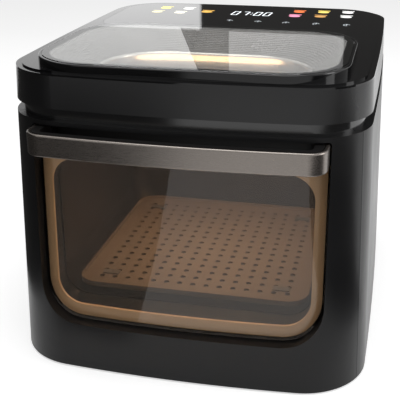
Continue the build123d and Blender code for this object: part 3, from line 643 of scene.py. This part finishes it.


# %% [markdown]
# ## Black cards
# A black object mirrors the white room, and it would look grey. Photographers hide parts of the
# room with black cards; here each card glows a flat dark grey, a painted dark reflection. The one
# behind ends in a slanted edge, which gives the hard border on the top, with white to its left and
# black to its right. The one on the floor in front keeps the left of the drawer's glass and of the
# handle dark. Those at the sides draw dark corners. A card is seen by mirror rays only, so that it takes
# no light from the object.


# %% Black cards
def black_card(name, corners):
    """A card glowing flat dark grey, a painted dark reflection, seen by mirror rays and nothing else."""
    mesh = bpy.data.meshes.new(name)
    mesh.from_pydata(corners, [], [tuple(range(len(corners)))])
    card = bpy.data.objects.new(name, mesh)
    bpy.context.scene.collection.objects.link(card)
    mesh.materials.append(painted_reflection_card)
    for ray in ("camera", "diffuse", "transmission", "volume_scatter", "shadow"):
        setattr(card, "visible_" + ray, False)


painted_reflection_card, card_tree = new_finish("painted_reflection_card")
# The card's glow, a flat dark grey, is the painted dark reflection that the glossy surfaces show.
card_reflection_grey = add(card_tree, "ShaderNodeEmission", {"Color": linear("#444342"), "Strength": 1.0})
show(card_tree, card_reflection_grey.outputs["Emission"])
CARD_Y = BACK_Y + 0.02
black_card("card_behind", [(x, CARD_Y, z) for x, z in (
    (-0.338, 0.3), (1.2, 0.3), (1.2, 1.2), (-0.3, 1.2), (-0.343, 0.68), (-0.396, 0.55), (-0.338, 0.55))])
black_card("card_left", [(-1.2, y, z) for y, z in ((-1.6, 0.0), (0.9, 0.0), (0.9, 1.2), (-1.6, 1.2))])
FLOOR_CARDS = {
    "card_front": ((-1.4, -1.5), (-0.33, -1.5), (-0.07, -0.25), (-1.4, -0.25)),
    "card_floor_left": ((-1.4, -0.25), (-0.26, -0.25), (-0.26, 0.6), (-1.4, 0.6)),
    "card_right": ((0.26, -0.8), (1.3, -0.8), (1.3, -0.05), (0.26, -0.05)),
}
CARD_LIFT = 0.002
for name, corners in FLOOR_CARDS.items():
    black_card(name, [(x, y, CARD_LIFT) for x, y in corners])
print("cards", 2 + len(FLOOR_CARDS))


# %% [markdown]
# ## White floor, white room
# The page is white, but a room that lit the object as white as that would wash it out. So the
# floor and the world ask what kind of ray has come. The camera, a mirror or a glass sees them
# at full white. Light that falls on the object finds plain paper and a dim sky. The paper
# keeps the object's shadow in both cases.


# %% Floor and background
FLOOR_REACH = 4.0
PAGE_GLOW = 0.5
SKY_SEEN, SKY_LIGHT = 1.0, 0.35


def seen_rays(tree):
    """A socket that is 1 for rays of the camera, of mirrors and of glass, and 0 for the rest."""
    path = add(tree, "ShaderNodeLightPath")
    seen = add(tree, "ShaderNodeMath", {
        0: path.outputs["Is Camera Ray"], 1: path.outputs["Is Glossy Ray"]}, operation="MAXIMUM")
    seen = add(tree, "ShaderNodeMath", {
        0: seen.outputs[0], 1: path.outputs["Is Transmission Ray"]}, operation="MAXIMUM")
    return seen.outputs[0]


def stage_white():
    """Paper that those rays see as the page, and that still takes shadow."""
    material, tree = new_finish("paper_white")
    paper = add(tree, "ShaderNodeBsdfDiffuse", {"Color": linear("#e8e8e8")})
    page = add(tree, "ShaderNodeEmission", {"Color": linear("#ffffff"), "Strength": PAGE_GLOW})
    both = add(tree, "ShaderNodeAddShader", {0: paper.outputs["BSDF"], 1: page.outputs["Emission"]})
    mix = add(tree, "ShaderNodeMixShader", {
        0: seen_rays(tree), 1: paper.outputs["BSDF"], 2: both.outputs["Shader"]})
    show(tree, mix.outputs["Shader"])
    return material


floor_mesh = bpy.data.meshes.new("floor")
floor_corners = [(x * FLOOR_REACH, y * FLOOR_REACH, 0) for x, y in ((-1, -1), (1, -1), (1, 1), (-1, 1))]
floor_mesh.from_pydata(floor_corners, [], [(0, 1, 2, 3)])
floor = bpy.data.objects.new("floor", floor_mesh)
bpy.context.scene.collection.objects.link(floor)
floor_mesh.materials.append(stage_white())

world = bpy.data.worlds.new("studio")
bpy.context.scene.world = world
world.use_nodes = True
sky = world.node_tree
sky.nodes.clear()
level = add(sky, "ShaderNodeMapRange", {
    "Value": seen_rays(sky), "To Min": SKY_LIGHT, "To Max": SKY_SEEN})
glow = add(sky, "ShaderNodeBackground", {
    "Color": linear("#ffffff"), "Strength": level.outputs["Result"]})
add(sky, "ShaderNodeOutputWorld", {"Surface": glow.outputs["Background"]})
print("floor and sky done")

# %% Light inside the chamber
LAMP_COLOUR = "#ffd5a8"
soft_box("chamber_light", (0.0, -0.06, 0.226), (0.0, -0.04, 0.06), 0.14, 0.10, 0.5, LAMP_COLOUR)
soft_box("throat_glow", (0.0, -0.10, 0.236), (0.0, 0.0, 0.275), 0.14, 0.05, 0.12, LAMP_COLOUR)
